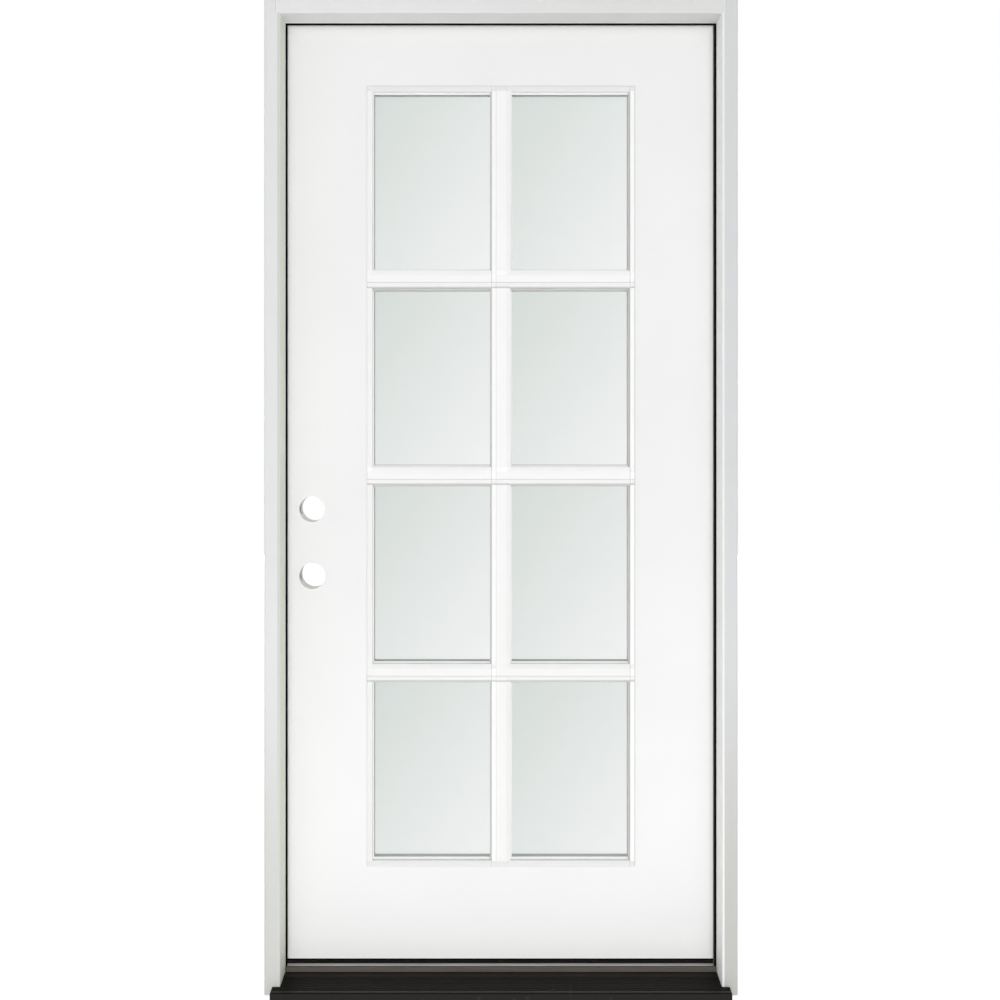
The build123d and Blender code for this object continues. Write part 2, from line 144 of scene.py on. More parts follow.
class NodeTree:
    """The nodes of a material or of the world."""

    def __init__(self, owner: Material | bpy.types.World, output: str) -> None:
        """Starts with nothing but the output.

        Args:
            owner: What the nodes belong to.
            output: The output node's type.
        """
        owner.use_nodes = True
        self.tree = owner.node_tree
        self.tree.nodes.clear()
        self.output = self.tree.nodes.new(output)

    def node(
        self,
        kind: str,
        settings: dict[str, object],
        inputs: dict[int | str, object],
        output: int | str = 0,
    ) -> Wire:
        """Adds a node.

        Args:
            kind: The node's type.
            settings: Its own settings, set before its inputs are filled.
            inputs: A value or a Wire for each socket, by the socket's name or number.
            output: The name or number of the socket whose value is wanted.

        Returns:
            That output.
        """
        node = self.tree.nodes.new(kind)
        for key, value in settings.items():
            setattr(node, key, value)
        for key, value in inputs.items():
            if isinstance(value, Wire):
                self.tree.links.new(value.socket, node.inputs[key])
            else:
                slot = node.inputs[key]
                is_colour = slot.type == "RGBA" and len(value) == 3
                slot.default_value = (*value, 1.0) if is_colour else value
        return Wire(self, node.outputs[output])

    def rays(self, *kinds: str) -> Wire:
        """Tells rays apart.

        Args:
            kinds: The kinds of ray, as Light Path names them.

        Returns:
            1 for rays of any of those kinds, else 0.
        """
        hits = [self.node("ShaderNodeLightPath", {}, {}, kind) for kind in kinds]
        seen = hits[0]
        for hit in hits[1:]:
            seen = seen.most(hit)
        return seen

    def close(self, shader: Wire) -> None:
        """Joins a shader to the output."""
        self.tree.links.new(shader.socket, self.output.inputs["Surface"])


class Recipe(NodeTree):
    """The node tree of one material, with its shader and its textures."""

    def __init__(self, name: str) -> None:
        """Starts an empty material.

        Args:
            name: Its name.
        """
        self.material = bpy.data.materials.new(name)
        super().__init__(self.material, "ShaderNodeOutputMaterial")
        self.place = self.node("ShaderNodeTexCoord", {}, {}, "Object")

    def axis(self, name: str) -> Wire:
        """The object's own X, Y or Z at a point, in metres."""
        return self.node("ShaderNodeSeparateXYZ", {}, {0: self.place}, name)

    def mix(self, share: Wire | float, first: Wire | Colour, second: Wire | Colour) -> Wire:
        """Mixes two colours.

        Args:
            share: How much of the second colour there is, 0 to 1.
            first: The colour at 0.
            second: The colour at 1.

        Returns:
            The mixed colour.
        """
        settings = {"data_type": "RGBA", "clamp_factor": True}
        return self.node("ShaderNodeMix", settings, {0: share, 6: first, 7: second}, 2)

    def stretched(self, grain: Grain) -> Wire:
        """The place of a point, drawn out along the grain."""
        inputs = {0: self.place, 1: grain.value}
        return self.node("ShaderNodeVectorMath", {"operation": "MULTIPLY"}, inputs)

    def noise(self, scale: float, grain: Grain = Grain.EVEN, detail: float = 3.0) -> Wire:
        """Cloudy noise.

        Args:
            scale: How fine it is, in waves a metre.
            grain: Which way it is drawn out.
            detail: How many finer layers it has.

        Returns:
            Its value, about 0.5 on the average.
        """
        inputs = {"Vector": self.stretched(grain), "Scale": scale, "Detail": detail}
        return self.node("ShaderNodeTexNoise", {}, inputs)

    def cells(self, scale: float, grain: Grain = Grain.EVEN) -> Wire:
        """The distance to the nearest of many scattered points, scale of them to a metre."""
        inputs = {"Vector": self.stretched(grain), "Scale": scale}
        return self.node("ShaderNodeTexVoronoi", {}, inputs, "Distance")

    def bump(self, height: Wire, depth: float, strength: float = 1.0) -> Wire:
        """Turns heights into the lean of the surface.

        Args:
            height: The height, 0 to 1.
            depth: How deep 1 is, in metres.
            strength: How much of it shows, 0 to 1.

        Returns:
            The normal.
        """
        inputs = {"Height": height, "Distance": depth, "Strength": strength}
        return self.node("ShaderNodeBump", {}, inputs)

    def principled(self, **sockets: object) -> Wire:
        """Adds a Principled shader.

        Args:
            sockets: What goes into its sockets, by their names with underscores for spaces.

        Returns:
            The shader.
        """
        inputs = {}
        for key, value in sockets.items():
            inputs[key.replace("_", " ").title().replace("Ior", "IOR")] = value
        return self.node("ShaderNodeBsdfPrincipled", {}, inputs)

    def surface(
        self,
        colour: Wire | Colour,
        roughness: Wire,
        normal: Wire,
        specular: float = 0.3,
        metallic: Wire | float = 0.0,
    ) -> None:
        """Finishes the material with one Principled shader.

        Args:
            colour: Its colour.
            roughness: How matt it is, 0 to 1.
            normal: The lean of the surface.
            specular: How strong its gloss is, 0.5 for most plain materials.
            metallic: How much of it is bare metal, 0 to 1.
        """
        sockets = {"base_color": colour, "roughness": roughness, "normal": normal}
        self.close(self.principled(**sockets, specular_ior_level=specular, metallic=metallic))


# -------- sizes of the door that the finishes follow


@dataclass(frozen=True)
class PaneGrid:
    """Where the panes of the glazed opening are, in metres."""

    column_pitch: float = 0.2884
    row_pitch: float = 0.410025
    pane_width: float = 0.2484
    pane_height: float = 0.373525
    mid_z: float = 1.0448
    columns: int = 2
    rows: int = 4

    @staticmethod
    def off_middle(place: Wire, pitch: float) -> Wire:
        """How far past the middle of its pane a place is, where a pane starts at every pitch."""
        return (place / pitch).fraction() * pitch - pitch / 2

    def across(self, recipe: Recipe) -> Wire:
        """How far right of its pane's middle a point is, in metres."""
        return self.off_middle(recipe.axis("X"), self.column_pitch)

    def up(self, recipe: Recipe) -> Wire:
        """How far above its pane's middle a point is, in metres."""
        return self.off_middle(recipe.axis("Z") - self.mid_z, self.row_pitch)

    def centres(self) -> list[Span]:
        """Finds the middle of every pane.

        Returns:
            The places, as (x, z).
        """
        xs = [(c - (self.columns - 1) / 2) * self.column_pitch for c in range(self.columns)]
        zs = [self.mid_z + (r - (self.rows - 1) / 2) * self.row_pitch for r in range(self.rows)]
        return [(x, z) for x in xs for z in zs]


PANES = PaneGrid()
FAR = 3.0  # metres, past the whole door: where a strip that has no end of its own ends


@dataclass(frozen=True)
class Band:
    """A strip of a surface with a tone of its own, between two places along one axis.

    Attributes:
        axis: The axis, X, Y or Z.
        low: Where the strip starts, in metres.
        high: Where it ends.
        colour: Its colour.
        share: How much of that colour covers what is below.
        soft: Half the width over which its sides fade.
        mirrored: Whether it is on both sides of the doorway's middle.
    """

    axis: str
    low: float
    high: float
    colour: Colour
    share: float = 1.0
    soft: float = 0.0003
    mirrored: bool = False

    def lay(self, recipe: Recipe, under: Wire | Colour) -> Wire:
        """Lays the strip over a colour.

        Args:
            recipe: The material.
            under: The colour that it lies on.

        Returns:
            The colour with the strip on it.
        """
        place = recipe.axis(self.axis)
        if self.mirrored:
            place = abs(place)
        past_low = place.ramp(self.low - self.soft, self.low + self.soft)
        past_high = place.ramp(self.high - self.soft, self.high + self.soft)
        return recipe.mix(past_low * (1.0 - past_high) * self.share, under, self.colour)


# -------- finishes


class Finish:
    """How a material looks. Each kind of finish lays itself in its own way."""

    def make(self, name: str) -> Material:
        """Builds a material.

        Args:
            name: Its name.

        Returns:
            The material.
        """
        recipe = Recipe(name)
        self.lay(recipe)
        return recipe.material

    def lay(self, recipe: Recipe) -> None:
        """Lays the finish in a material."""
        raise NotImplementedError


@dataclass(frozen=True)
class FiberglassSkin(Finish):
    """Smooth white fiberglass with a faint ripple from the mould and a sprayed satin coat.

    The edge colour is painted light: a lighter tone along the sides, top and foot that stands in
    for the light the frame keeps off them. Each fade gives the places between which it comes in or
    goes out.
    """

    colour: Colour = srgb(241, 241, 241)
    shaded: Colour = srgb(238, 238, 238)
    # painted light: the lighter tone laid near the frame's edges and the floor
    edge: Colour = srgb(245, 245, 244)
    side_fade: Span = (0.414, 0.444)
    top_fade: Span = (1.932, 1.982)
    foot_fade: Span = (0.06, 0.14)
    painted_edge_light_share: float = 1.0
    roughness: float = 0.42

    def lay(self, recipe: Recipe) -> None:
        """Lays the finish.

        Args:
            recipe: The material.
        """
        cloud = recipe.noise(2.2, detail=2.0)
        peel = recipe.noise(420.0, detail=2.0)
        ripple = recipe.noise(9.0, Grain.UPRIGHT, 1.0)
        handled = recipe.noise(14.0, detail=4.0).ramp(0.5, 0.8)
        colour = recipe.mix(cloud.ramp(0.35, 0.75), self.colour, self.shaded)
        # painted light: lighter towards the sides, top and foot of the slab, where the frame shades
        # it
        by_side = abs(recipe.axis("X")).ramp(*self.side_fade)
        by_top = recipe.axis("Z").ramp(*self.top_fade)
        by_foot = 1.0 - recipe.axis("Z").ramp(*self.foot_fade)
        colour = recipe.mix(by_side.most(by_top).most(by_foot) * self.painted_edge_light_share, colour, self.edge)
        normal = recipe.bump(peel * 0.25 + ripple, 0.00012)
        recipe.surface(colour, self.roughness + handled * 0.06 + peel * 0.03, normal)


@dataclass(frozen=True)
class PaintedWood(Finish):
    """A primed and painted board: the grain shows faintly through the paint.

    Attributes:
        face: The colour of the faces that look out.
        foot: The colour of the outside near the floor, darker towards the bottom.
        grain: Which way the board runs.
        bands: The strips that have a tone of their own.
        foot_fade: The heights between which the foot's colour goes out.
        outside_fade: The depths between which it goes out behind the outside face.
    """

    face: Colour
    foot: Colour
    grain: Grain
    bands: tuple[Band, ...]
    foot_fade: Span = (0.1, 0.8)
    outside_fade: Span = (-0.058, -0.034)

    def lay(self, recipe: Recipe) -> None:
        """Lays the finish.

        Args:
            recipe: The material.
        """
        fibres = recipe.noise(260.0, self.grain, 4.0)
        flame = recipe.noise(24.0, self.grain, 3.0)
        specks = recipe.cells(900.0).ramp(0.0, 0.5)
        low = 1.0 - recipe.axis("Z").ramp(*self.foot_fade)
        outside = 1.0 - recipe.axis("Y").ramp(*self.outside_fade)
        colour = recipe.mix(low * outside, self.face, self.foot)
        for band in self.bands:
            colour = band.lay(recipe, colour)
        colour = recipe.mix(flame.ramp(0.5, 0.75) * 0.05, colour, srgb(196, 192, 180))
        normal = recipe.bump(fibres * 0.7 + specks * 0.3, 0.00015, 0.6)
        recipe.surface(colour, 0.5 + fibres * 0.1, normal)


@dataclass(frozen=True)
class Moulding(Finish):
    """Bright white moulded plastic, satin, with a painted-shade crease where a bead turns and
    painted light and shade on its bevels.

    Attributes:
        colour: The colour of the flats.
        low: The colour of the flats low down.
        right_crease_painted_shade: The painted shade line beside the right bevels.
        upper_crease_painted_shade: The painted shade line over the top bevels.
        right_bevel_painted_light: The painted light on the right bevels.
        top_bevel_painted_shade: The painted shade on the top bevels.
        lit_flank: The colour of the bottom bevels.
        low_bevel_painted_shade: The painted shade on the lowest of the bottom bevels.
        foot: The painted shade at the foot of the top and right bevels, next to the glass.
        top_bead: The shade on the bead over the top panes.
        bead: How wide a bevel is, in metres.
        from_right: How far the right crease is from the pane's edge.
        from_top: How far the top crease is from the pane's edge.
        side_fade: How wide the right crease is.
        top_fade: How wide the top crease is.
        side_foot: How wide the foot of the right bevel is.
        top_foot: How wide the foot of the top bevel is.
        shade_below: The height up to which the top feet lie in shade, in metres.
        low_fade: The heights between which the flats' low colour goes out.
        flank_fade: The heights between which the bottom bevels' low colour goes out.
    """

    colour: Colour = srgb(247, 247, 247)
    low: Colour = srgb(241, 241, 240)
    right_crease_painted_shade: Colour = srgb(224, 224, 222)
    upper_crease_painted_shade: Colour = srgb(206, 206, 203)
    right_bevel_painted_light: Colour = srgb(254, 254, 254)
    top_bevel_painted_shade: Colour = srgb(240, 240, 240)
    lit_flank: Colour = srgb(252, 252, 252)
    low_bevel_painted_shade: Colour = srgb(230, 230, 230)
    foot: Colour = srgb(206, 206, 204)
    top_bead: Band = Band("Z", 1.848, 2.0, srgb(231, 231, 231), share=0.85)
    bead: float = 0.009
    from_right: float = 0.0105
    from_top: float = 0.0125
    side_fade: float = 0.0024
    top_fade: float = 0.003
    side_foot: float = 0.0012
    top_foot: float = 0.003
    shade_below: float = 1.7
    low_fade: Span = (0.4, 1.4)
    flank_fade: Span = (0.24, 1.06)

    def lay(self, recipe: Recipe) -> None:
        """Lays the finish.

        Args:
            recipe: The material.
        """
        past_right = PANES.across(recipe) - PANES.pane_width / 2
        up = PANES.up(recipe)
        past_top = up - PANES.pane_height / 2
        past_bottom = 0.0 - up - PANES.pane_height / 2
        near_right = self.fading(past_right, self.from_right, self.side_fade)
        near_top = self.fading(past_top, self.from_top, self.top_fade)
        height = recipe.axis("Z")
        top_foot = self.between(past_top, self.top_foot) * (height < self.shade_below)
        foot = self.between(past_right, self.side_foot).most(top_foot)
        pores = recipe.noise(700.0, detail=2.0)
        cloud = recipe.noise(5.0, detail=2.0)
        colour = recipe.mix(height.ramp(*self.low_fade), self.low, self.colour)
        colour = recipe.mix(cloud.ramp(0.4, 0.8) * 0.3, colour, srgb(241, 241, 240))
        # painted light on the right bevels, painted shade on the top ones, and on the bottom bevels
        # painted light that turns to painted shade low down
        colour = recipe.mix(self.between(past_right, self.bead), colour, self.right_bevel_painted_light)
        colour = recipe.mix(self.between(past_top, self.bead), colour, self.top_bevel_painted_shade)
        bottom_bevel_painted_shading = recipe.mix(height.ramp(*self.flank_fade), self.low_bevel_painted_shade, self.lit_flank)
        colour = recipe.mix(self.between(past_bottom, self.bead), colour, bottom_bevel_painted_shading)
        # painted shade on the top bead, at the creases and at the bevels' feet
        colour = self.top_bead.lay(recipe, colour)
        colour = recipe.mix(near_right, colour, self.right_crease_painted_shade)
        colour = recipe.mix(near_top, colour, self.upper_crease_painted_shade)
        colour = recipe.mix(foot, colour, self.foot)
        recipe.surface(colour, 0.38 + pores * 0.08, recipe.bump(pores, 0.00004, 0.5))

    @staticmethod
    def between(past: Wire, width: float) -> Wire:
        """1 from the pane's edge to so far past it, else 0."""
        return (past > 0.0) * (past < width)

    @staticmethod
    def fading(past: Wire, far: float, fade: float) -> Wire:
        """Comes in over the fade's width, up to so far past the pane's edge, and ends there."""
        return past.ramp(far - fade, far) * (past < far)


@dataclass(frozen=True)
class ClearGlass(Finish):
    """One sheet of the glazed unit: clear, with a painted reflection, a faint sky tone that falls
    across each pane.
    """

    upper_left: Colour = (0.812, 0.84, 0.825)
    lower_right: Colour = (0.938, 0.945, 0.942)
    passing: Colour = (0.93, 0.95, 0.94)

    def lay(self, recipe: Recipe) -> None:
        """Lays the finish.

        Args:
            recipe: The material.
        """
        across = PANES.across(recipe) / PANES.pane_width
        down = 0.0 - PANES.up(recipe) / PANES.pane_height
        # painted reflection: each pane goes from the upper left tone to the lower right one
        fall = (across + down) * 0.5 + 0.5
        dust = recipe.noise(30.0, detail=4.0).ramp(0.55, 0.8)
        colour = recipe.mix(fall, self.upper_left, self.lower_right)
        sheet = recipe.principled(
            base_color=recipe.mix(dust * 0.15, colour, self.upper_left),
            roughness=dust * 0.01,
            ior=1.46,
            transmission_weight=1.0,
        )
        soft_light = recipe.rays("Is Shadow Ray", "Is Diffuse Ray")
        open_air = recipe.node("ShaderNodeBsdfTransparent", {}, {"Color": self.passing})
        recipe.close(recipe.node("ShaderNodeMixShader", {}, {0: soft_light, 1: sheet, 2: open_air}))


@dataclass(frozen=True)
class EngineeredWood(Finish):
    """Laminated veneer lumber: thin layers edge on, with grain along the piece."""

    light: Colour = srgb(206, 176, 134)
    dark: Colour = srgb(158, 122, 82)
    grain: Grain = Grain.UPRIGHT
    layer_thickness: float = 0.0032
    waver: float = 0.0012

    def lay(self, recipe: Recipe) -> None:
        """Lays the finish.

        Args:
            recipe: The material.
        """
        waviness = recipe.noise(18.0, self.grain, 3.0)
        depth = recipe.axis("Y") + waviness * self.waver
        layers = (depth / self.layer_thickness).fraction()
        fibres = recipe.noise(320.0, self.grain, 5.0)
        knots = recipe.noise(26.0, self.grain, 2.0)
        colour = recipe.mix(fibres.ramp(0.3, 0.7), self.light, self.dark)
        colour = recipe.mix(knots.ramp(0.55, 0.8) * 0.5, colour, srgb(126, 88, 56))
        glue = 1.0 - abs(layers - 0.5).ramp(0.42, 0.48) * 0.8
        colour = recipe.mix(1.0 - glue, colour, srgb(92, 62, 40))
        normal = recipe.bump(fibres * 0.6 + glue * 0.4, 0.0003)
        recipe.surface(colour, 0.7 + fibres * 0.15, normal, specular=0.25)


@dataclass(frozen=True)
class PrimedBlock(Finish):
    """The pale composite block that the lock goes in, smooth from the hole saw."""

    colour: Colour = srgb(250, 250, 248)

    def lay(self, recipe: Recipe) -> None:
        """Lays the finish.

        Args:
            recipe: The material.
        """
        saw = recipe.noise(900.0, Grain.DEEP, 3.0)
        chips = recipe.cells(260.0).ramp(0.1, 0.5)
        colour = recipe.mix(saw.ramp(0.4, 0.8) * 0.3, self.colour, srgb(236, 234, 228))
        normal = recipe.bump(saw * 0.6 + chips * 0.4, 0.0002)
        recipe.surface(colour, 0.6 + saw * 0.15, normal, specular=0.25)


@dataclass(frozen=True)
class RigidFoam(Finish):
    """Pale yellow polyurethane foam with fine open cells where it is cut."""

    colour: Colour = srgb(236, 224, 176)
    pore: Colour = srgb(196, 176, 116)

    def lay(self, recipe: Recipe) -> None:
        """Lays the finish.

        Args:
            recipe: The material.
        """
        cells = recipe.cells(850.0)
        cloud = recipe.noise(22.0, detail=3.0)
        colour = recipe.mix(cells.ramp(0.15, 0.6), self.pore, self.colour)
        colour = recipe.mix(cloud.ramp(0.5, 0.8) * 0.4, colour, srgb(222, 202, 146))
        normal = recipe.bump(cells, 0.0005)
        recipe.surface(colour, 0.88 + cloud * 0.08, normal, specular=0.2)


@dataclass(frozen=True)
class SoftSeal(Finish):
    """Black foam weatherstrip in a thin skin, faintly dusty, with a painted highlight on the
    rounded lip.

    Attributes:
        colour: The colour of the skin.
        lip: The colour of the painted highlight on the lip.
        lip_from: The distance from the middle of the doorway where the lip ends, or None.
        lip_fade: How far before that place its colour starts to fade, and how far past it ends.
        grain: Which way the strip runs.
    """

    colour: Colour = srgb(8, 8, 7)
    lip: Colour = srgb(104, 104, 101)
    lip_from: float | None = None
    lip_fade: Span = (0.0012, 0.0006)
    grain: Grain = Grain.UPRIGHT

    def lay(self, recipe: Recipe) -> None:
        """Lays the finish.

        Args:
            recipe: The material.
        """
        drawn = recipe.noise(300.0, self.grain, 3.0)
        pebble = recipe.cells(1300.0)
        dust = recipe.noise(12.0, detail=4.0).ramp(0.5, 0.85)
        colour = recipe.mix(drawn.ramp(0.35, 0.8) * 0.4, self.colour, srgb(17, 17, 15))
        if self.lip_from is not None:
            before, past = self.lip_fade
            # painted highlight: the lip is painted grey where it would catch the light
            beyond = abs(recipe.axis("X")).ramp(self.lip_from - before, self.lip_from + past)
            colour = recipe.mix(1.0 - beyond, colour, self.lip)
        colour = recipe.mix(dust * 0.03, colour, srgb(120, 118, 110))
        normal = recipe.bump(pebble * 0.5 + drawn * 0.5, 0.00012)
        recipe.surface(colour, 0.8 + drawn * 0.12, normal, specular=0.03)


@dataclass(frozen=True)
class DarkBronze(Finish):
    """Anodised aluminium, drawn along its length, scuffed a little lighter where feet fall."""

    colour: Colour = srgb(22, 20, 18)
    scuffed: Colour = srgb(33, 30, 28)
    bands: tuple[Band, ...] = ()

    def lay(self, recipe: Recipe) -> None:
        """Lays the finish.

        Args:
            recipe: The material.
        """
        drawn = recipe.noise(900.0, Grain.ACROSS, 4.0)
        scuffs = recipe.noise(60.0, Grain.DEEP, 5.0).ramp(0.6, 0.78)
        worn = recipe.noise(3.0, detail=2.0).ramp(0.45, 0.75)
        grit = recipe.cells(520.0).ramp(0.28, 0.1)
        colour = recipe.mix(drawn.ramp(0.35, 0.75) * 0.35, self.colour, self.scuffed)
        for band in self.bands:
            colour = band.lay(recipe, colour)
        colour = recipe.mix(scuffs * worn * 0.35, colour, srgb(96, 90, 82))
        colour = recipe.mix(grit * 0.1, colour, srgb(120, 112, 100))
        roughness = 0.42 + drawn * 0.16 + scuffs * 0.08
        normal = recipe.bump(drawn, 0.00008, 0.7)
        recipe.surface(colour, roughness, normal, specular=0.5, metallic=0.85 - scuffs * 0.2)


@dataclass(frozen=True)
class CapComposite(Finish):
    """The bronze-brown co-extruded cap under the door, with a fine drawn texture.

    Attributes:
        colour: The colour of the plastic.
        bands: The strips that have a tone of their own.
    """

    colour: Colour = srgb(99, 93, 89)
    bands: tuple[Band, ...] = ()

    def lay(self, recipe: Recipe) -> None:
        """Lays the finish.

        Args:
            recipe: The material.
        """
        drawn = recipe.noise(420.0, Grain.ACROSS, 4.0)
        cloud = recipe.noise(16.0, Grain.ACROSS, 3.0)
        colour = self.colour
        for band in self.bands:
            colour = band.lay(recipe, colour)
        colour = recipe.mix(drawn.ramp(0.35, 0.75) * 0.3, colour, srgb(62, 57, 54))
        colour = recipe.mix(cloud.ramp(0.45, 0.8) * 0.15, colour, srgb(140, 134, 128))
        recipe.surface(colour, 0.46 + drawn * 0.16, recipe.bump(drawn, 0.00018, 0.8))


@dataclass(frozen=True)
class SillComposite(Finish):
    """The dark wood-fibre composite below the metal deck."""

    colour: Colour = srgb(96, 88, 78)
    chip: Colour = srgb(134, 122, 104)

    def lay(self, recipe: Recipe) -> None:
        """Lays the finish.

        Args:
            recipe: The material.
        """
        chips = recipe.cells(420.0, Grain.ACROSS)
        cloud = recipe.noise(40.0, Grain.ACROSS, 4.0)
        colour = recipe.mix(chips.ramp(0.1, 0.6), self.chip, self.colour)
        colour = recipe.mix(cloud.ramp(0.4, 0.8) * 0.5, colour, srgb(74, 66, 58))
        normal = recipe.bump(chips, 0.0004)
        recipe.surface(colour, 0.78 + cloud * 0.12, normal, specular=0.25)


@dataclass(frozen=True)
class WhiteEnamel(Finish):
    """Stoved white enamel on the spacer and the bars between the glass, with a rolled seam."""

    colour: Colour = srgb(250, 250, 249)
    seam_y: float = 0.035725
    seam_fade: Span = (0.0002, 0.0006)

    def lay(self, recipe: Recipe) -> None:
        """Lays the finish.

        Args:
            recipe: The material.
        """
        flow = recipe.noise(150.0, detail=2.0)
        cloud = recipe.noise(6.0, detail=2.0)
        off_seam = abs(recipe.axis("Y") - self.seam_y).ramp(*self.seam_fade)
        colour = recipe.mix(cloud.ramp(0.4, 0.8) * 0.5, self.colour, srgb(244, 244, 242))
        colour = recipe.mix(1.0 - off_seam, colour, srgb(206, 206, 202))
        normal = recipe.bump(flow * 0.2 + off_seam, 0.0002, 0.6)
        recipe.surface(colour, 0.32 + flow * 0.1, normal)


@dataclass(frozen=True)
class SatinNickel(Finish):
    """Brushed and plated steel of the hinges and their screws."""

    colour: Colour = srgb(186, 182, 174)
    grain: Grain = Grain.UPRIGHT

    def lay(self, recipe: Recipe) -> None:
        """Lays the finish.

        Args:
            recipe: The material.
        """
        brushed = recipe.noise(1400.0, self.grain, 4.0)
        handled = recipe.noise(70.0, detail=4.0).ramp(0.5, 0.8)
        pits = recipe.cells(1100.0).ramp(0.12, 0.02)
        colour = recipe.mix(brushed.ramp(0.3, 0.75) * 0.5, self.colour, srgb(160, 156, 148))
        colour = recipe.mix(pits * 0.4, colour, srgb(96, 90, 82))
        roughness = 0.28 + brushed * 0.14 + handled * 0.1
        normal = recipe.bump(brushed - pits * 0.5, 0.00004, 0.8)
        recipe.surface(colour, roughness, normal, specular=0.5, metallic=1.0 - pits * 0.3)


@dataclass(frozen=True)
class GlazingTape(Finish):
    """The sealant line between glass and moulding.

    Attributes:
        lit: Its colour.
        shaded: Its colour along the right and top of a pane, where it lies in shade.
        shade_below: The height up to which the tops lie in shade, in metres.
        side_width: How wide the shaded line is at the right, in metres.
        top_width: How wide it is at the top.
    """

    lit: Colour = srgb(243, 243, 242)
    shaded: Colour = srgb(205, 205, 202)
    shade_below: float = 1.7
    side_width: float = 0.0032
    top_width: float = 0.0044

    def lay(self, recipe: Recipe) -> None:
        """Lays the finish.

        Args:
            recipe: The material.
        """
        past_right = PANES.across(recipe) - (PANES.pane_width / 2 - self.side_width)
        past_top = PANES.up(recipe) - (PANES.pane_height / 2 - self.top_width)
        at_top = (past_top > 0.0) * (recipe.axis("Z") < self.shade_below)
        tooled = recipe.noise(260.0, detail=3.0)
        tone = recipe.mix((past_right > 0.0).most(at_top), self.lit, self.shaded)
        colour = recipe.mix(tooled.ramp(0.4, 0.8) * 0.15, tone, srgb(214, 214, 210))
        recipe.surface(colour, 0.45 + tooled * 0.1, recipe.bump(tooled, 0.0001, 0.6))


# -------- mesh work

CIRCLE_POINTS = 32


@dataclass
class Mould:
    """Collects one piece's faces in a bmesh, in metres and in the door's own frame."""

    name: str
    mesh: bmesh.types.BMesh = field(default_factory=bmesh.new)

    def ring(self, points: list[Point]) -> list[Vert]:
        """Adds a row of points."""
        return [self.mesh.verts.new(point) for point in points]

    def skin(self, rows: list[list[Vert]]) -> None:
        """Joins closed rows of as many points each with quads.

        Args:
            rows: The rows, in order along the piece.
        """
        for near, far in zip(rows, rows[1:]):
            for i in range(len(near)):
                j = (i + 1) % len(near)
                self.mesh.faces.new((near[i], near[j], far[j], far[i]))

    def lid(self, row: list[Vert]) -> None:
        """Fills a row of points with one face."""
        self.mesh.faces.new(row)

    def turned(self, at: Point, out: Vector, profile: Sequence[Span]) -> list[list[Vert]]:
        """Adds a turned shape, open at both ends.

        Args:
            at: The point of its axis that distances are measured from.
            out: The direction of the axis.
            profile: The outline, as radii and distances along the axis.

        Returns:
            The rows of points, in order.
        """
        lean = out.to_track_quat("Z", "Y").to_matrix()
        angles = [2 * math.pi * i / CIRCLE_POINTS for i in range(CIRCLE_POINTS)]
        rows = []
        for radius, along in profile:
            middle = Vector(at) + out * along
            flat = [Vector((radius * math.cos(a), radius * math.sin(a), 0)) for a in angles]
            rows.append(self.ring([tuple(middle + lean @ spoke) for spoke in flat]))
        self.skin(rows)
        return rows

    def cast(self, finish: Material, body: Body, smooth: float = 30.0) -> None:
        """Makes the object and lets it ride.

        Args:
            finish: Its material.
            body: What it moves with.
            smooth: The angle in degrees up to which its faces are shaded as one.
        """
        bmesh.ops.recalc_face_normals(self.mesh, faces=self.mesh.faces)
        data = bpy.data.meshes.new(self.name)
        self.mesh.to_mesh(data)
        self.mesh.free()
        data.shade_smooth()
        data.set_sharp_from_angle(angle=math.radians(smooth))
        data.materials.append(finish)
        piece = place_object(self.name, data)
        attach(piece, body.value)
        log.info("%s: %d faces, %s", self.name, len(data.polygons), finish.name)


def place_object(name: str, data: bpy.types.ID) -> bpy.types.Object:
    """Puts an object in the scene.

    Args:
        name: Its name.
        data: Its mesh, camera or lamp.

    Returns:
        The object.
    """
    thing = bpy.data.objects.new(name, data)
    bpy.context.scene.collection.objects.link(thing)
    return thing


